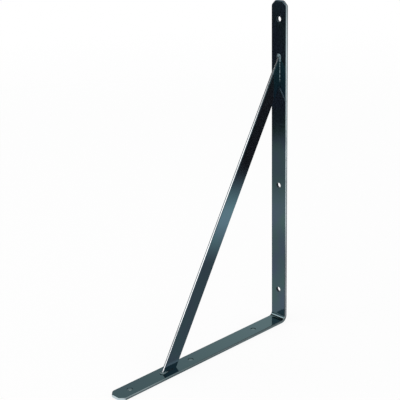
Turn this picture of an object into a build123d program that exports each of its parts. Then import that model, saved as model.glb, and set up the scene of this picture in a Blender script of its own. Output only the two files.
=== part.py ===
from build123d import *
import math
import os

os.makedirs("parts", exist_ok=True)

# A welded angle bracket that stands on its short leg, in millimetres.
# +X runs along the short leg away from the wall, +Z up the long leg, and Y is the width of the bars.
# The origin is the middle of the surface that the short leg stands on.

# Folded flat bar: the long leg goes to the wall and the short leg carries the shelf
leg_length = 500.0
foot_length = 340.0
bar_width = 28.0
bar_thickness = 4.5
bend_radius = 6.5
bar_edge_round = 1.2
corner_cut = 7.0
corner_round = 5.0

# Screw holes, measured from the free ends and from the outer face of the other leg
hole_diameter = 8.0
hole_edge_round = 0.25
end_hole_inset = 26.6
leg_low_hole = 52.0
leg_mid_hole = 223.5
foot_near_hole = 63.0
foot_mid_hole = 197.0

# Brace: a flat bar on edge, mitred at both ends, whose outer edge stops short of the free ends
brace_depth = 22.5
brace_thickness = 4.0
brace_edge_round = 0.8
leg_end_to_brace = 79.0
foot_end_to_brace = 86.5

# Welds: a heavy nose round each tip of the brace, and a thin seam along both sides of each end
nose_length = 12.0
nose_reach = 2.0
nose_height = 1.7
nose_tip_reach = 3.0
seam_reach = 0.9
seam_height = 0.8
seam_heel_gap = 3.0
weld_flank_angle = 45.0

# Places that follow from the sizes
wall_x = -foot_length / 2
foot_end_x = foot_length / 2
leg_face_x = wall_x + bar_thickness
foot_face_z = bar_thickness
leg_hole_heights = (leg_low_hole, leg_mid_hole, leg_length - end_hole_inset)
foot_hole_places = (wall_x + foot_near_hole, wall_x + foot_mid_hole, foot_end_x - end_hole_inset)

# The brace's outer edge meets the two legs at its tips, and its inner edge meets them at its heels
upper_tip_z = leg_length - leg_end_to_brace
lower_tip_x = foot_end_x - foot_end_to_brace
brace_run = lower_tip_x - leg_face_x
brace_rise = upper_tip_z - foot_face_z
brace_angle = math.atan2(brace_run, brace_rise)
upper_heel_z = upper_tip_z - brace_depth / math.sin(brace_angle)
lower_heel_x = lower_tip_x - brace_depth / math.cos(brace_angle)


with BuildPart() as angle_bar:
    with BuildSketch(Plane.XZ) as bar_profile:
        with BuildLine():
            Polyline(
                (wall_x, 0),
                (foot_end_x, 0),
                (foot_end_x, foot_face_z),
                (leg_face_x, foot_face_z),
                (leg_face_x, leg_length),
                (wall_x, leg_length),
                close=True,
            )
        make_face()
        inner_corner = bar_profile.vertices().sort_by_distance((leg_face_x, 0, foot_face_z))[0]
        fillet(inner_corner, bend_radius)
        outer_corner = bar_profile.vertices().sort_by_distance((wall_x, 0, 0))[0]
        fillet(outer_corner, bend_radius + bar_thickness)
    extrude(amount=bar_width / 2, both=True)

    # Both free ends have their corners cut off, and the cuts are softened
    leg_end_corners = angle_bar.faces().sort_by(Axis.Z)[-1].edges().filter_by(Axis.X)
    foot_end_corners = angle_bar.faces().sort_by(Axis.X)[-1].edges().filter_by(Axis.Z)
    chamfer(leg_end_corners + foot_end_corners, corner_cut)
    leg_cut_edges = angle_bar.edges().filter_by(Axis.X).group_by(SortBy.LENGTH)[0]
    foot_cut_edges = angle_bar.edges().filter_by(Axis.Z).group_by(SortBy.LENGTH)[0]
    fillet(leg_cut_edges + foot_cut_edges, corner_round)

    # The edges of the broad faces are rounded all the way round the bar, but not the seams of the bend
    leg_faces = angle_bar.faces().filter_by(Axis.X).sort_by(SortBy.AREA)[-2:]
    foot_faces = angle_bar.faces().filter_by(Axis.Z).sort_by(SortBy.AREA)[-2:]
    bend_faces = angle_bar.faces().filter_by(GeomType.CYLINDER).sort_by_distance((wall_x, 0, 0))[:2]
    broad_edges = ShapeList(e for face in leg_faces + foot_faces + bend_faces for e in face.edges())
    outline = ShapeList(e for e in broad_edges if sum(e.is_same(other) for other in broad_edges) == 1)
    fillet(outline, bar_edge_round)

    # Plain round screw holes with softened rims
    with Locations(*[Location((leg_face_x, 0, z), (0, 90, 0)) for z in leg_hole_heights]):
        Hole(hole_diameter / 2)
    with Locations(*[(x, 0, foot_face_z) for x in foot_hole_places]):
        Hole(hole_diameter / 2)
    rims = angle_bar.edges().filter_by(GeomType.CIRCLE)
    fillet(rims.filter_by(lambda e: math.isclose(e.radius, hole_diameter / 2)), hole_edge_round)
angle_bar.part.label = "angle_bar"


with BuildPart() as brace:
    with BuildSketch(Plane.XZ):
        with BuildLine():
            Polyline(
                (leg_face_x, upper_tip_z),
                (lower_tip_x, foot_face_z),
                (lower_heel_x, foot_face_z),
                (leg_face_x, upper_heel_z),
                close=True,
            )
        make_face()
    extrude(amount=brace_thickness / 2, both=True)
    long_edges = brace.edges().filter_by(Axis((0, 0, 0), (brace_run, 0, -brace_rise)))
    fillet(long_edges, brace_edge_round)
brace.part.label = "brace"


def weld_bead(leg_plane, heel, tip):
    """The nose and the seams on one leg's inner face, with heel and tip measured along the leg."""
    nose = (tip - nose_length, tip + nose_tip_reach, nose_reach, nose_height)
    seams = (heel + seam_heel_gap, tip, seam_reach, seam_height)
    with BuildPart() as bead:
        for start, end, reach, height in (nose, seams):
            with BuildSketch(leg_plane):
                with Locations(((start + end) / 2, 0)):
                    SlotOverall(end - start, brace_thickness + 2 * reach)
            extrude(amount=height, taper=weld_flank_angle)
        add(brace.part, mode=Mode.SUBTRACT)
    return bead


upper_weld = weld_bead(Plane((leg_face_x, 0, 0), x_dir=(0, 0, 1), z_dir=(1, 0, 0)), upper_heel_z, upper_tip_z)
upper_weld.part.label = "upper_weld"

lower_weld = weld_bead(Plane.XY.offset(foot_face_z), lower_heel_x, lower_tip_x)
lower_weld.part.label = "lower_weld"

for piece in (angle_bar, brace, upper_weld, lower_weld):
    export_step(piece.part, f"parts/{piece.part.label}.step")
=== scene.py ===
import math

import bpy
from mathutils import Matrix, Vector


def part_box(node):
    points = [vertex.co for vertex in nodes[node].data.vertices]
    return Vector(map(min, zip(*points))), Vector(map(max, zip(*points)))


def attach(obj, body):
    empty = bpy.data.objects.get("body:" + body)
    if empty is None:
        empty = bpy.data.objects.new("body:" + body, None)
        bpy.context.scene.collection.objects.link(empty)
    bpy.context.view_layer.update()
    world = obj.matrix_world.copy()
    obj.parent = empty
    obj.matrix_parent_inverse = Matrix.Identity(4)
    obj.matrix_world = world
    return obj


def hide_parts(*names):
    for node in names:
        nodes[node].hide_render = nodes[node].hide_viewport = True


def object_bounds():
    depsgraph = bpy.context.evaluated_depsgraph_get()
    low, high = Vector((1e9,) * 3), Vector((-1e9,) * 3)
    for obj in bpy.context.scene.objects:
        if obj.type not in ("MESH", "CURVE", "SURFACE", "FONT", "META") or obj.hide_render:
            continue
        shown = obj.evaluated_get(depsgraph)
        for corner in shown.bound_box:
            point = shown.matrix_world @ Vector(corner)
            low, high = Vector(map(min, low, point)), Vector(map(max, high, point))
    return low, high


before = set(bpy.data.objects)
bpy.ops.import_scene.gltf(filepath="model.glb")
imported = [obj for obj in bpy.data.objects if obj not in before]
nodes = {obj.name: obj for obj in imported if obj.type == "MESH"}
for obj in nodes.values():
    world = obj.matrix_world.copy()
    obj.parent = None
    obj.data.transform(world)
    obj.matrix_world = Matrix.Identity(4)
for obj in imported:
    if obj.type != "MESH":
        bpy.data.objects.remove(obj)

cad_low, cad_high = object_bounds()

# Units are metres. +X runs along the short leg away from the wall, +Z up the long leg, Y across the bars.
MM = 0.001
UP = Vector((0, 0, 1))
OFF_WALL = Vector((1, 0, 0))
BRACE_LOW, BRACE_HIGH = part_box("brace")
BRACE_HALF_THICKNESS = BRACE_HIGH.y
BEND_OUTER_RADIUS = 11 * MM
BEND_CENTRE_X = cad_low.x + BEND_OUTER_RADIUS
BEND_CENTRE_Z = BEND_OUTER_RADIUS

# The camera stands off the open corner, above the bracket, and is rolled a little.
AIM = Vector((-0.0351, -0.0363, 0.2253))
CAMERA_AZIMUTH = 136.03
CAMERA_ELEVATION = 18.92
CAMERA_ROLL = -1.47
CAMERA_DISTANCE = 1.418
IMAGE_SIDE = 400
FOCAL_PIXELS = 978.9
SENSOR = 36.0
CLIP_START = 0.05
CLIP_END = 50

# Colours of the plated metal, as reflectances
BAR_TEAL = (0.060, 0.106, 0.108, 1)
BAR_SLATE = (0.062, 0.090, 0.124, 1)
BRACE_TEAL = (0.096, 0.190, 0.222, 1)
BRACE_SLATE = (0.102, 0.175, 0.225, 1)
# The short leg's light and dark colours paint a reflection that fades darker towards its free end
FOOT_PAINTED_LIGHT = (0.080, 0.138, 0.142, 1)
FOOT_PAINTED_DARK = (0.042, 0.080, 0.086, 1)
# The zinc colours are worn metal and partly painted highlights
EDGE_ZINC_AND_HIGHLIGHT = (0.69, 0.81, 0.84, 1)
BRACE_EDGE_ZINC_AND_HIGHLIGHT = (0.74, 0.76, 0.77, 1)
# The dark scale colour is partly painted shade
DARK_SCALE_AND_SHADE = (0.020, 0.026, 0.030, 1)
WELD_GREY = (0.27, 0.36, 0.39, 1)
WELD_DULL = (0.05, 0.08, 0.09, 1)
LOWER_WELD = (0.18, 0.24, 0.25, 1)
LOWER_WELD_DULL = (0.12, 0.17, 0.18, 1)
EDGE_ON_TINT = (0.75, 0.78, 0.82, 1)
WHITE = (1, 1, 1, 1)

# A pair below is a stretch of a place, a direction or a noise, or the two values at its ends. Most values of
# a noise lie in NOISE_RANGE.
NOISE_RANGE = (0.3, 0.7)

# Plating: clouds of tint, patches in the wear and painted highlights, drawing lines, grain and a slow
# unevenness. Scales are per metre.
CLOUD_SCALE = 24.0
CLOUD_TURN = (0.38, 0.62)
PATCH_SCALE = 14.0
PATCH_TURN = (0.36, 0.58)
PATCH_SHARE = 0.72
LINE_SCALE = 900.0
LINE_ROUGHNESS = (0.06, 0.11)
LINE_HEIGHT = 0.002 * MM
LINE_STRENGTH = 0.25
GRAIN_SCALE = 2500.0
GRAIN_ROUGHNESS = 0.03
SATIN_TURN = (0.3, 1.0)
WAVE_SCALE = 22.0
WAVE_HEIGHT = 0.06 * MM
# Where the short leg's painted reflection fades: along X, and up to a height
FOOT_PAINTED_FADE_STRETCH = (-0.12, 0.11)
FOOT_PAINTED_FADE_TOP = (4.6 * MM, 8 * MM)

# Parts of the bent bar: its narrow sides look along Y, and its flanks are all but the broad faces. The long
# leg starts over LEG_START, and the holes lie nearer the middle than HOLE_REACH.
SIDE_TURN = (0.6, 0.8)
FLANK_TURN = (0.3, 0.8)
LEG_START = (5 * MM, 9 * MM)
HOLE_REACH = (4.6 * MM, 5.0 * MM)

# The bright inner half of the bent bar's narrow sides, worn metal and partly a painted highlight. Radii are
# measured from the bend's centre, 6.5 mm at the inner faces and 11 mm at the outer ones.
BRIGHT_RADIUS = 7.7 * MM
BRIGHT_FADE = (1.0 * MM, 1.3 * MM)
LEG_TOP_FADE = (0.42, 0.49)
LEG_TOP_SHARE = 0.45
FOOT_END_FADE = (0.09, 0.14)
FOOT_SHARES = (0.22, 0.45)

# Dark scale on the bent bar's flanks, partly painted shade; the crown of its narrow sides; bare metal at the
# short leg's end and in its holes, partly a painted highlight; and a painted highlight line inside the bend
SCALE_AND_SHADE_TURN = (0.25, 0.5)
SCALE_AND_SHADE_SHARE = 0.8
UPPER_EDGE_RADII = (7.4 * MM, 8.2 * MM)
UPPER_EDGE_STRETCH = (0.0, 0.08)
UPPER_EDGE_SHARE = 0.9
CROWN_MIDDLE_RADIUS = 9.3 * MM
CROWN_RADIUS = 3 * MM
CROWN_HALF_WIDTH = 1.6 * MM
CROWN_START = (20 * MM, 60 * MM)
CUT_REACH = 8 * MM
CUT_SOFTNESS = 1 * MM
HOLE_WALL_TURN = (2.2 * MM, 2.6 * MM)
HOLE_WALL_SHARES = (0.13, 0.03)
BEND_INSIDE_TURN = (-0.9, -0.6)
# A painted highlight line along the middle of the inside of the bend
BEND_HIGHLIGHT_TURN = (0.480, 0.494)
BEND_HIGHLIGHT_SHARE = 0.29

# The brace's bright line lies beside the middle of its outer edge; it and the inner edge are worn metal and
# partly painted highlights
BRACE_LINE_Y = 0.5 * MM
BRACE_LINE_FADE = (0.5 * MM, 0.8 * MM)
BRACE_OUTER_TURN = (0.3, 0.6)
BRACE_INNER_TURN = (-0.8, -0.5)
# The rest of the brace's outer edge is dark scale and partly painted shade
BRACE_SCALE_AND_SHADE_TURN = (0.25, 0.4)
BRACE_SCALE_AND_SHADE_SHARE = 0.85

# Weld beads: a nose round the brace's tip, and seams along both of its sides
NOSE_LENGTH = 12 * MM
NOSE_TIP_REACH = 3 * MM
NOSE_REACH = 2 * MM
NOSE_HEIGHT = 1.7 * MM
NOSE_BLEND = 4 * MM
SEAM_REACH = 0.9 * MM
SEAM_HEIGHT = 0.8 * MM
BEAD_SINK = 0.15 * MM
BEAD_END_HALF_WIDTH = 0.05 * MM
DOME_POWER = 2.2
RIPPLE_PITCH = 1.5 * MM
RIPPLE_DEPTH = 0.14 * MM
RIPPLE_LAG = 0.35 * MM
BEAD_STEPS_ALONG = 150
BEAD_STEPS_ACROSS = 28

# Weld metal
WELD_PATCH_SCALE = 380.0
WELD_PATCH_TURN = (0.38, 0.60)
WELD_ROUGHNESS_SCALE = 900.0
WELD_ROUGHNESS_RISE = 0.16
WELD_GRAIN_SCALE = 1400.0
WELD_GRAIN_HEIGHT = 0.08 * MM
WELD_GRAIN_STRENGTH = 0.5
# The lower seam is darkened by painted shade, fading out between these lengths past the nose's start
SEAM_DARK_END = 2 * MM
SEAM_LIGHT_START = 8 * MM

# Studio
FLOOR_SIDE = 8.0
FLOOR_FADE = (1.6, 3.0)
FLOOR_COLOUR = (0.94, 0.94, 0.94, 1)
FLOOR_WHITE_SHARE = 0.88
AMBIENT_STRENGTH = 0.9
BACKGROUND_STRENGTH = 1.0
DARK_CARD = (0.04, 0.045, 0.05, 1)
GREY_CARD = (0.10, 0.10, 0.12, 1)
BROWN_CARD = (0.075, 0.048, 0.052, 1)
VIOLET_CARD = (0.085, 0.045, 0.06, 1)
CARD_LIFT = 1 * MM
CARD_EDGE_SOFTNESS = 0.03
BESIDE_FOOT_TURN = (15 * MM, 24 * MM)
BESIDE_FOOT_SHARE = 0.4

# Sides of the studio, as horizontal directions from the bracket, and the ways that standing cards face
LEFT_SIDE = (0.694, -0.72)
RIGHT_SIDE = (-0.694, 0.72)
FRONT_SIDE = (0.695, 0.719)
FACING_RIGHT = (-LEFT_SIDE[0], -LEFT_SIDE[1], 0)
FACING_LEFT = (-RIGHT_SIDE[0], -RIGHT_SIDE[1], 0)
FACING_BACK = (0.3, 1.0, 0)

# How much of each floor card shows, as pairs of a distance towards its side and a share
LEFT_FLOOR = (
    (-0.05, 0.0), (0.14, 0.2), (0.25, 0.2), (0.33, 0.0), (0.42, 0.0), (0.60, 0.45), (0.84, 0.45), (1.0, 0.85),
)
RIGHT_FLOOR = ((0.0, 0.72), (0.36, 0.78), (0.56, 0.0), (0.64, 0.0), (0.86, 0.95), (0.90, 0.95))
FRONT_FLOOR = ((0.72, 0.0), (0.86, 0.85), (1.04, 0.85), (1.13, 0.3), (1.5, 0.3))


def direction(azimuth, elevation):
    """Unit vector from the object towards a place; azimuth 0 is towards -Y and 90 towards +X, in degrees."""
    a = math.radians(azimuth)
    e = math.radians(elevation)
    return Vector((math.sin(a) * math.cos(e), -math.cos(a) * math.cos(e), math.sin(e)))


def add_camera():
    data = bpy.data.cameras.new("camera")
    data.sensor_width = SENSOR
    data.lens = SENSOR * FOCAL_PIXELS / IMAGE_SIDE
    data.clip_start = CLIP_START
    data.clip_end = CLIP_END
    camera = bpy.data.objects.new("camera", data)
    bpy.context.scene.collection.objects.link(camera)
    back = direction(CAMERA_AZIMUTH, CAMERA_ELEVATION)
    turn = (-back).to_track_quat("-Z", "Y").to_matrix().to_4x4()
    roll = Matrix.Rotation(math.radians(CAMERA_ROLL), 4, "Z")
    camera.matrix_world = Matrix.Translation(AIM + back * CAMERA_DISTANCE) @ turn @ roll
    bpy.context.scene.camera = camera


class Shader:
    """The node tree of a material or of the world, with short ways to add and join nodes."""

    def __init__(self, owner, output="ShaderNodeOutputMaterial"):
        owner.use_nodes = True
        self.owner = owner
        self.tree = owner.node_tree
        self.tree.nodes.clear()
        self.output = self.add(output)

    def add(self, kind, **settings):
        node = self.tree.nodes.new(kind)
        for key, value in settings.items():
            setattr(node, key, value)
        return node

    def feed(self, socket, value):
        """Join a node's output to a socket, or set the socket to a plain value."""
        if isinstance(value, bpy.types.NodeSocket):
            self.tree.links.new(value, socket)
        else:
            socket.default_value = value

    def show(self, surface):
        self.feed(self.output.inputs["Surface"], surface)

    def math(self, operation, *values, clamp=False):
        node = self.add("ShaderNodeMath", operation=operation, use_clamp=clamp)
        for socket, value in zip(node.inputs, values):
            self.feed(socket, value)
        return node.outputs["Value"]

    def product(self, first, *others):
        for factor in others:
            first = self.math("MULTIPLY", first, factor)
        return first

    def distance(self, value, middle):
        """How far a value is from a middle, on either side."""
        return self.math("ABSOLUTE", self.math("SUBTRACT", value, middle))

    def span(self, value, stretch, low=0.0, high=1.0):
        """Turns evenly from low to high while the value goes over the stretch, and stays there beyond it."""
        node = self.add("ShaderNodeMapRange")
        self.feed(node.inputs["Value"], value)
        for name, number in zip(("From Min", "From Max", "To Min", "To Max"), (*stretch, low, high)):
            node.inputs[name].default_value = number
        return node.outputs["Result"]

    def vector_math(self, operation, first, second=None):
        """Gives a number for a length or a dot product, and a vector for anything else."""
        node = self.add("ShaderNodeVectorMath", operation=operation)
        self.feed(node.inputs[0], first)
        if second is not None:
            self.feed(node.inputs[1], second)
        return node.outputs["Value" if operation in ("LENGTH", "DOT_PRODUCT") else "Vector"]

    def parts(self, vector):
        """The X, Y and Z of a vector."""
        node = self.add("ShaderNodeSeparateXYZ")
        self.feed(node.inputs["Vector"], vector)
        return node.outputs["X"], node.outputs["Y"], node.outputs["Z"]

    def noise(self, vector, scale, detail=2.0):
        node = self.add("ShaderNodeTexNoise")
        self.feed(node.inputs["Vector"], vector)
        node.inputs["Scale"].default_value = scale
        node.inputs["Detail"].default_value = detail
        return node.outputs["Fac"]

    def mix_colour(self, factor, first, second):
        node = self.add("ShaderNodeMix", data_type="RGBA")
        self.feed(node.inputs["Factor"], factor)
        for name, value in (("A", first), ("B", second)):
            self.feed(next(s for s in node.inputs if s.name == name and s.type == "RGBA"), value)
        return next(s for s in node.outputs if s.type == "RGBA")

    def mix_surface(self, factor, first, second):
        node = self.add("ShaderNodeMixShader")
        for socket, value in zip(node.inputs, (factor, first, second)):
            self.feed(socket, value)
        return node.outputs["Shader"]

    def bump(self, height, distance, strength=1.0, under=None):
        """The normal of a relief, laid over the relief under it."""
        node = self.add("ShaderNodeBump")
        node.inputs["Strength"].default_value = strength
        node.inputs["Distance"].default_value = distance
        self.feed(node.inputs["Height"], height)
        if under is not None:
            self.feed(node.inputs["Normal"], under)
        return node.outputs["Normal"]

    def metal(self, colour, roughness, normal, edge_tint=WHITE):
        node = self.add("ShaderNodeBsdfPrincipled")
        node.inputs["Metallic"].default_value = 1.0
        node.inputs["Specular Tint"].default_value = edge_tint
        self.feed(node.inputs["Base Color"], colour)
        self.feed(node.inputs["Roughness"], roughness)
        self.feed(node.inputs["Normal"], normal)
        return node.outputs["BSDF"]

    def paper(self, colour):
        node = self.add("ShaderNodeBsdfDiffuse")
        node.inputs["Color"].default_value = colour
        return node.outputs["BSDF"]

    def clear(self):
        return self.add("ShaderNodeBsdfTransparent").outputs["BSDF"]

    def background(self, strength):
        node = self.add("ShaderNodeBackground")
        node.inputs["Color"].default_value = WHITE
        node.inputs["Strength"].default_value = strength
        return node.outputs["Background"]

    def seen(self):
        """1 for what the camera or the metal sees, and 0 for what only lights a surface."""
        rays = self.add("ShaderNodeLightPath").outputs
        seen = self.math("MAXIMUM", rays["Is Camera Ray"], rays["Is Glossy Ray"])
        return self.math("MAXIMUM", seen, rays["Is Transmission Ray"])


def new_material(name):
    return Shader(bpy.data.materials.new(name))


def bar_wear_and_painted_light(s, place, normal):
    """Wear and painted light of the bent bar: the shares of bare metal and painted highlight, of dark scale
    and painted shade, and the height of the crown.
    """
    x, y, z = s.parts(place)
    way = s.add("ShaderNodeCombineXYZ")
    s.feed(way.inputs["X"], s.math("MINIMUM", s.math("SUBTRACT", x, BEND_CENTRE_X), 0.0))
    s.feed(way.inputs["Z"], s.math("MINIMUM", s.math("SUBTRACT", z, BEND_CENTRE_Z), 0.0))
    outwards = s.vector_math("NORMALIZE", way.outputs["Vector"])
    radius = s.vector_math("LENGTH", way.outputs["Vector"])
    facing = s.vector_math("DOT_PRODUCT", outwards, normal)
    side = s.math("ABSOLUTE", s.parts(normal)[1])
    flank = s.span(s.math("ABSOLUTE", facing), FLANK_TURN, 1.0, 0.0)
    on_leg = s.span(z, LEG_START)
    off_holes = s.span(s.math("ABSOLUTE", y), HOLE_REACH)

    # Each narrow side is bright over its inner half, less so near the top and along the short leg: worn
    # metal, and partly a painted highlight
    inner_half = s.span(s.distance(radius, BRIGHT_RADIUS), BRIGHT_FADE, 1.0, 0.0)
    near_top = s.span(z, LEG_TOP_FADE, 1.0, LEG_TOP_SHARE)
    on_foot = s.span(x, FOOT_END_FADE, *FOOT_SHARES)
    leg_or_foot = s.math("MAXIMUM", on_leg, on_foot)
    edges = s.product(inner_half, s.span(side, SIDE_TURN), off_holes, near_top, leg_or_foot)

    # Dark scale, partly painted shade, lies on the long leg's flanks, and along the short leg's upper edges
    # near the bend
    flanks = s.span(s.math("MAXIMUM", side, flank), SCALE_AND_SHADE_TURN, 0.0, SCALE_AND_SHADE_SHARE)
    near_bend = s.span(x, UPPER_EDGE_STRETCH, 1.0, 0.0)
    upper_edge = s.product(s.span(radius, UPPER_EDGE_RADII, UPPER_EDGE_SHARE, 0.0), near_bend)
    scale = s.product(flanks, s.math("MAXIMUM", on_leg, upper_edge))

    # The long leg's narrow sides are a little crowned, falling off as a circle does near its top
    near_crown = s.math("MINIMUM", s.distance(radius, CROWN_MIDDLE_RADIUS), CROWN_HALF_WIDTH)
    crown = s.product(near_crown, near_crown, -0.5 / CROWN_RADIUS, s.span(z, CROWN_START))

    # The short leg's cut end is bright, and its hole walls are a little bright low down: bare metal, and
    # partly a painted highlight
    cut_start = cad_high.x - CUT_REACH
    foot_end = s.span(x, (cut_start, cut_start + CUT_SOFTNESS))
    in_foot_hole = s.product(s.math("SUBTRACT", 1.0, off_holes), s.math("SUBTRACT", 1.0, on_leg))
    hole_wall = s.product(in_foot_hole, s.span(z, HOLE_WALL_TURN, *HOLE_WALL_SHARES))
    cut = s.product(flank, s.math("MAXIMUM", foot_end, hole_wall))

    # A painted highlight line runs along the middle of the inside of the bend
    out_x, _, out_z = s.parts(outwards)
    inside = s.span(facing, BEND_INSIDE_TURN, 1.0, 0.0)
    bend = s.product(s.span(s.product(out_x, out_z), BEND_HIGHLIGHT_TURN, 0.0, BEND_HIGHLIGHT_SHARE), inside)
    return s.math("MAXIMUM", s.math("MAXIMUM", edges, cut), bend), scale, crown


def brace_wear_and_painted_light(s, place, normal):
    """Wear and painted light of the brace: a bright line along its dark outer edge, and the whole of its
    inner edge bright, both partly painted highlights; the dark of the outer edge is partly painted shade.
    """
    y = s.parts(place)[1]
    facing = s.parts(normal)[0]
    line = s.span(s.distance(y, BRACE_LINE_Y), BRACE_LINE_FADE, 1.0, 0.0)
    outer = s.product(line, s.span(facing, BRACE_OUTER_TURN))
    inner = s.span(facing, BRACE_INNER_TURN, 1.0, 0.0)
    scale = s.span(facing, BRACE_SCALE_AND_SHADE_TURN, 0.0, BRACE_SCALE_AND_SHADE_SHARE)
    return s.math("MAXIMUM", outer, inner), scale, None


def plated_steel(name, teal, slate, bare_and_highlight, wear_and_painted_light, satin, painted_foot_fade, along):
    """Dark mirror-like plating on a drawn flat bar.

    bare_and_highlight is the brighter metal where the plating is thin and where highlights are painted, and
    wear_and_painted_light the function that says where that is and where dark scale and painted shade lie.
    satin is how much rougher that brighter metal is. painted_foot_fade is how far the short leg has a painted
    reflection that fades darker towards its free end. along scales the noise of the drawing lines, small
    along the bar.
    """
    s = new_material(name)
    coordinates = s.add("ShaderNodeTexCoord")
    place = coordinates.outputs["Object"]
    x, _, z = s.parts(place)

    # Cloudy passivation: the tint drifts slowly between teal and slate
    cloud = s.span(s.noise(place, CLOUD_SCALE, detail=3.0), CLOUD_TURN)
    plating = s.mix_colour(cloud, teal, slate)

    # On the short leg a painted reflection fades darker towards the free end
    drift = s.mix_colour(s.span(x, FOOT_PAINTED_FADE_STRETCH), FOOT_PAINTED_LIGHT, FOOT_PAINTED_DARK)
    plating = s.mix_colour(s.span(z, FOOT_PAINTED_FADE_TOP, painted_foot_fade, 0.0), plating, drift)

    # The plating is thin or scaled where it wears, with painted highlights and painted shade laid on the same
    # masks, and the bare metal and painted highlights show in patches
    bright, scale, crown = wear_and_painted_light(s, place, coordinates.outputs["Normal"])
    plating = s.mix_colour(scale, plating, DARK_SCALE_AND_SHADE)
    patches = s.span(s.noise(place, PATCH_SCALE, detail=3.0), PATCH_TURN, PATCH_SHARE, 1.0)
    worn_and_highlit = s.math("MULTIPLY", bright, patches, clamp=True)
    colour = s.mix_colour(worn_and_highlit, plating, bare_and_highlight)

    # Drawing lines run along the bar
    lines = s.noise(s.vector_math("MULTIPLY", place, along), LINE_SCALE)
    line_roughness = s.span(lines, NOISE_RANGE, *LINE_ROUGHNESS)
    grain_roughness = s.span(s.noise(place, GRAIN_SCALE), NOISE_RANGE, 0.0, GRAIN_ROUGHNESS)
    roughness = s.math("ADD", line_roughness, grain_roughness)
    roughness = s.math("ADD", roughness, s.span(worn_and_highlit, SATIN_TURN, 0.0, satin))

    # The crown's height is in metres already
    relief = s.bump(s.noise(place, WAVE_SCALE, detail=1.0), WAVE_HEIGHT)
    relief = s.bump(lines, LINE_HEIGHT, strength=LINE_STRENGTH, under=relief)
    if crown is not None:
        relief = s.bump(crown, 1.0, under=relief)
    s.show(s.metal(colour, roughness, relief, edge_tint=EDGE_ON_TINT))
    return s.owner


def weld_steel(name, light, dull, roughness, seam_shade_share):
    """Weld metal under the same plating, in light and dull patches. The lower seam is darkened by painted
    shade, by seam_shade_share.
    """
    s = new_material(name)
    place = s.add("ShaderNodeTexCoord").outputs["Object"]
    cloud = s.span(s.noise(place, WELD_PATCH_SCALE, detail=3.0), WELD_PATCH_TURN)
    nose = BRACE_HIGH.x - NOSE_LENGTH
    seam_end = (nose + SEAM_DARK_END, nose + SEAM_LIGHT_START)
    # Painted shade darkens the lower seam
    painted_seam_shade = s.span(s.parts(place)[0], seam_end, seam_shade_share, 0.0)
    colour = s.mix_colour(painted_seam_shade, s.mix_colour(cloud, light, dull), DARK_SCALE_AND_SHADE)
    dulling = s.noise(place, WELD_ROUGHNESS_SCALE)
    dulled = s.span(dulling, NOISE_RANGE, roughness, roughness + WELD_ROUGHNESS_RISE)
    grain = s.noise(place, WELD_GRAIN_SCALE, detail=3.0)
    s.show(s.metal(colour, dulled, s.bump(grain, WELD_GRAIN_HEIGHT, strength=WELD_GRAIN_STRENGTH)))
    return s.owner


def bead_half_width(run, start, tip):
    """Half the bead's width at a place along the leg, round at both ends."""
    seam = BRACE_HALF_THICKNESS + SEAM_REACH
    nose = BRACE_HALF_THICKNESS + NOSE_REACH
    nose_start = tip - NOSE_LENGTH
    end = tip + NOSE_TIP_REACH
    widest = 0.0
    for low, high, half in ((start, tip, seam), (nose_start, end, nose)):
        if low <= run <= high:
            from_end = min(run - low, high - run, half)
            widest = max(widest, math.sqrt(max(half * half - (half - from_end) ** 2, 0.0)))
    return widest


def bead_height(run, across, start, tip):
    """Height of the bead over the leg's face, with its ripples."""
    nose_start = tip - NOSE_LENGTH
    blend = min(max((run - nose_start) / NOSE_BLEND, 0.0), 1.0)
    blend = blend * blend * (3 - 2 * blend)
    top = SEAM_HEIGHT + (NOSE_HEIGHT - SEAM_HEIGHT) * blend
    half = bead_half_width(run, start, tip)
    if half <= 0:
        return 0.0
    edge = min(abs(across) / half, 1.0)
    dome = math.sqrt(max(1 - edge ** DOME_POWER, 0.0))
    off_middle = across / BRACE_HALF_THICKNESS
    wave = math.sin(2 * math.pi * (run + RIPPLE_LAG * off_middle * off_middle) / RIPPLE_PITCH)
    ripple = RIPPLE_DEPTH * (abs(wave) - 1.0) * dome
    return max(top * dome + ripple, 0.0)


def add_bead(name, origin, along, outward, start, tip):
    """A rippled pad on one leg's face. origin is on the face, and start and tip are measured along it."""
    across_way = outward.cross(along)
    end = tip + NOSE_TIP_REACH
    vertices = []
    for level in ("top", "bottom"):
        for i in range(BEAD_STEPS_ALONG + 1):
            run = start + (end - start) * i / BEAD_STEPS_ALONG
            half = max(bead_half_width(run, start, tip), BEAD_END_HALF_WIDTH)
            for j in range(BEAD_STEPS_ACROSS + 1):
                across = half * (2 * j / BEAD_STEPS_ACROSS - 1)
                height = bead_height(run, across, start, tip) if level == "top" else -BEAD_SINK
                vertices.append(origin + along * run + across_way * across + outward * height)
    row = BEAD_STEPS_ACROSS + 1
    lower = row * (BEAD_STEPS_ALONG + 1)
    faces = []
    for i in range(BEAD_STEPS_ALONG):
        for j in range(BEAD_STEPS_ACROSS):
            a = i * row + j
            quad = (a, a + row, a + row + 1, a + 1)
            faces.append(quad)
            faces.append(tuple(lower + v for v in reversed(quad)))
        for a, b in ((i * row, (i + 1) * row), ((i + 2) * row - 1, (i + 1) * row - 1)):
            faces.append((a, lower + a, lower + b, b))
    for j in range(BEAD_STEPS_ACROSS):
        last = BEAD_STEPS_ALONG * row + j
        faces.append((j + 1, lower + j + 1, lower + j, j))
        faces.append((last, lower + last, lower + last + 1, last + 1))
    mesh = bpy.data.meshes.new(name)
    mesh.from_pydata(vertices, [], faces)
    mesh.shade_smooth()
    mesh.validate()
    bead = bpy.data.objects.new(name, mesh)
    bpy.context.scene.collection.objects.link(bead)
    return bead


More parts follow.
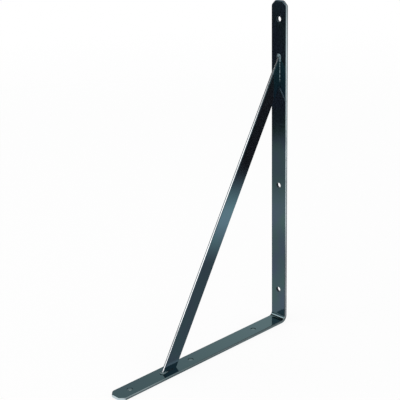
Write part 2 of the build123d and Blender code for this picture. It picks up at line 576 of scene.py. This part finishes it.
def add_world():
    """Even soft light, and a white background that the camera and the metal see."""
    world = bpy.data.worlds.new("studio")
    bpy.context.scene.world = world
    s = Shader(world, "ShaderNodeOutputWorld")
    s.show(s.mix_surface(s.seen(), s.background(AMBIENT_STRENGTH), s.background(BACKGROUND_STRENGTH)))


def add_plane(name, width, height, place, facing):
    """An upright or lying rectangle whose front looks along facing."""
    mesh = bpy.data.meshes.new(name)
    right = width / 2
    top = height / 2
    corners = [(-right, -top, 0), (right, -top, 0), (right, top, 0), (-right, top, 0)]
    mesh.from_pydata(corners, [], [(0, 1, 2, 3)])
    plane = bpy.data.objects.new(name, mesh)
    bpy.context.scene.collection.objects.link(plane)
    turn = Vector(facing).to_track_quat("Z", "Y").to_matrix().to_4x4()
    plane.matrix_world = Matrix.Translation(Vector(place)) @ turn
    return plane


def add_floor():
    """A pale floor that keeps the bracket's shadow and fades into the background far away."""
    floor = add_plane("floor", FLOOR_SIDE, FLOOR_SIDE, (0, 0, 0), UP)
    s = new_material("floor_paper")
    place = s.add("ShaderNodeTexCoord").outputs["Object"]
    fade = s.span(s.vector_math("LENGTH", place), FLOOR_FADE)
    below = s.add("ShaderNodeNewGeometry").outputs["Backfacing"]

    # Part of the background's white is laid over the paper, for the camera and the metal alike
    white = s.add("ShaderNodeEmission")
    white.inputs["Strength"].default_value = BACKGROUND_STRENGTH
    white_share = s.product(s.seen(), FLOOR_WHITE_SHARE)
    whitened = s.mix_surface(white_share, s.paper(FLOOR_COLOUR), white.outputs["Emission"])
    s.show(s.mix_surface(s.math("MAXIMUM", fade, below), whitened, s.clear()))
    floor.data.materials.append(s.owner)


def add_soft_box(name, width, height, place, target, power):
    data = bpy.data.lights.new(name, "AREA")
    data.shape = "RECTANGLE"
    data.size = width
    data.size_y = height
    data.energy = power
    lamp = bpy.data.objects.new(name, data)
    bpy.context.scene.collection.objects.link(lamp)
    way = Vector(target) - Vector(place)
    lamp.matrix_world = Matrix.Translation(Vector(place)) @ way.to_track_quat("-Z", "Y").to_matrix().to_4x4()
    lamp.visible_camera = False


def card_sheet(s, card, colour, shown):
    """Finish a studio card that only the metal reflects. shown is the share of it that is there."""
    s.show(s.mix_surface(shown, s.clear(), s.paper(colour)))
    card.data.materials.append(s.owner)
    card.visible_camera = False
    card.visible_diffuse = False
    card.visible_shadow = False


def add_card(name, width, height, place, facing, softness, colour):
    """A standing card, whose lower edge is soft over the height softness, and its upper edge over a third."""
    card = add_plane(name, width, height, place, facing)
    s = new_material(name)
    y = s.parts(s.add("ShaderNodeTexCoord").outputs["Object"])[1]
    low = s.span(y, (-height / 2, -height / 2 + softness))
    high = s.span(y, (height / 2 - softness / 3, height / 2), 1.0, 0.0)
    card_sheet(s, card, colour, s.math("MINIMUM", low, high))


def studio_place(side, distance, across, height):
    """A place in the studio, at a distance towards one side and moved across to the right seen from there."""
    way = Vector((side[0], side[1], 0)).normalized()
    right = Vector((-way.y, way.x, 0))
    return way * distance + right * across + Vector((0, 0, height))


def add_floor_card(name, low, high, side, edge, shares, colour):
    """A card lying on the floor between two corners.

    shares says how much of the card shows at each distance towards a side, and edge where it begins, measured
    across to the right seen from there.
    """
    middle = Vector(((low[0] + high[0]) / 2, (low[1] + high[1]) / 2, CARD_LIFT))
    card = add_plane(name, high[0] - low[0], high[1] - low[1], middle, UP)
    card.matrix_world = Matrix.Translation(middle)
    s = new_material(name)
    place = s.add("ShaderNodeNewGeometry").outputs["Position"]
    towards = s.vector_math("DOT_PRODUCT", place, studio_place(side, distance=1, across=0, height=0))
    across = s.vector_math("DOT_PRODUCT", place, studio_place(side, distance=0, across=1, height=0))
    steps = [
        s.span(towards, (near, far), 0.0, next_share - share)
        for (near, share), (far, next_share) in zip(shares, shares[1:])
        if next_share != share
    ]
    total = steps[0]
    for step in steps[1:]:
        total = s.math("ADD", total, step)
    total = s.math("ADD", total, shares[0][1], clamp=True)

    # Thinner close beside the short leg, and clear past the edge
    beside = s.span(s.math("ABSOLUTE", s.parts(place)[1]), BESIDE_FOOT_TURN, BESIDE_FOOT_SHARE, 1.0)
    inside = s.span(across, (edge - CARD_EDGE_SOFTNESS, edge + CARD_EDGE_SOFTNESS))
    card_sheet(s, card, colour, s.product(total, s.product(beside, inside)))


add_camera()
add_world()
add_floor()

# A soft box lights the narrow faces from the open side
add_soft_box(
    "key", width=0.75, height=0.9, power=2.3,
    place=studio_place(LEFT_SIDE, distance=1.35, across=0.12, height=0.80), target=(0, 0, 0.2),
)

# Dark cards stand low and high on the left and behind it, and a brown one stands low on the right
add_card(
    "left_card", width=0.9, height=0.44, facing=FACING_RIGHT, softness=0.06, colour=GREY_CARD,
    place=studio_place(LEFT_SIDE, distance=1.02, across=-0.38, height=0.19),
)
add_card(
    "left_high_card", width=0.65, height=1.6, facing=FACING_RIGHT, softness=0.25, colour=DARK_CARD,
    place=studio_place(LEFT_SIDE, distance=1.2, across=0.02, height=1.85),
)
add_card(
    "back_high_card", width=1.6, height=1.6, facing=FACING_RIGHT, softness=0.03, colour=DARK_CARD,
    place=studio_place(LEFT_SIDE, distance=1.2, across=-1.12, height=2.10),
)
add_card(
    "back_left_card", width=0.9, height=0.8, facing=FACING_RIGHT, softness=0.02, colour=DARK_CARD,
    place=studio_place(LEFT_SIDE, distance=1.2, across=-0.75, height=0.55),
)
add_card(
    "far_left_card", width=1.0, height=0.5, facing=FACING_BACK, softness=0.02, colour=DARK_CARD,
    place=(-0.45, -1.2, 0.25),
)
add_card(
    "right_card", width=0.95, height=0.29, facing=FACING_LEFT, softness=0.03, colour=BROWN_CARD,
    place=studio_place(RIGHT_SIDE, distance=0.90, across=0.425, height=0.135),
)

# Cards lie on the floor on three sides
add_floor_card(
    "front_floor_card", low=(0.2, 0.1), high=(1.3, 1.3), side=FRONT_SIDE, edge=-0.6, shares=FRONT_FLOOR,
    colour=GREY_CARD,
)
add_floor_card(
    "left_floor_card", low=(-0.25, -1.0), high=(1.2, -0.02), side=LEFT_SIDE, edge=-0.9, shares=LEFT_FLOOR,
    colour=GREY_CARD,
)
add_floor_card(
    "right_floor_card", low=(-1.2, 0.0145), high=(0.2, 1.2), side=RIGHT_SIDE, edge=-0.2, shares=RIGHT_FLOOR,
    colour=VIOLET_CARD,
)

# On the bent bar the drawing lines run along X and Z, which both legs share
bar_plating = plated_steel(
    "bar_plating", BAR_TEAL, BAR_SLATE, EDGE_ZINC_AND_HIGHLIGHT, bar_wear_and_painted_light,
    satin=0.30, painted_foot_fade=0.85, along=(0.02, 1.0, 0.02),
)
brace_plating = plated_steel(
    "brace_plating", BRACE_TEAL, BRACE_SLATE, BRACE_EDGE_ZINC_AND_HIGHLIGHT, brace_wear_and_painted_light,
    satin=0.10, painted_foot_fade=0.0, along=(0.03, 1.0, 0.02),
)
upper_plating = weld_steel("upper_weld_plating", WELD_GREY, WELD_DULL, roughness=0.22, seam_shade_share=0.0)
lower_plating = weld_steel("lower_weld_plating", LOWER_WELD, LOWER_WELD_DULL, roughness=0.36, seam_shade_share=1.0)
nodes["angle_bar"].material_slots[0].material = bar_plating
nodes["brace"].material_slots[0].material = brace_plating
nodes["upper_weld"].material_slots[0].material = upper_plating
nodes["lower_weld"].material_slots[0].material = lower_plating

# The beads stand on the inner faces of the legs, from near the brace's heels to just past its tips
upper_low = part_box("upper_weld")[0]
upper_bead = add_bead(
    "upper_bead", origin=Vector((BRACE_LOW.x, 0, 0)), along=UP, outward=OFF_WALL,
    start=upper_low.z, tip=BRACE_HIGH.z,
)
lower_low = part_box("lower_weld")[0]
lower_bead = add_bead(
    "lower_bead", origin=Vector((0, 0, BRACE_LOW.z)), along=OFF_WALL, outward=UP,
    start=lower_low.x, tip=BRACE_HIGH.x,
)
for bead, node in ((upper_bead, "upper_weld"), (lower_bead, "lower_weld")):
    bead.data.materials.append(nodes[node].material_slots[0].material)
    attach(bead, "root")
    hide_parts(node)

bpy.context.scene.view_settings.view_transform = "Standard"
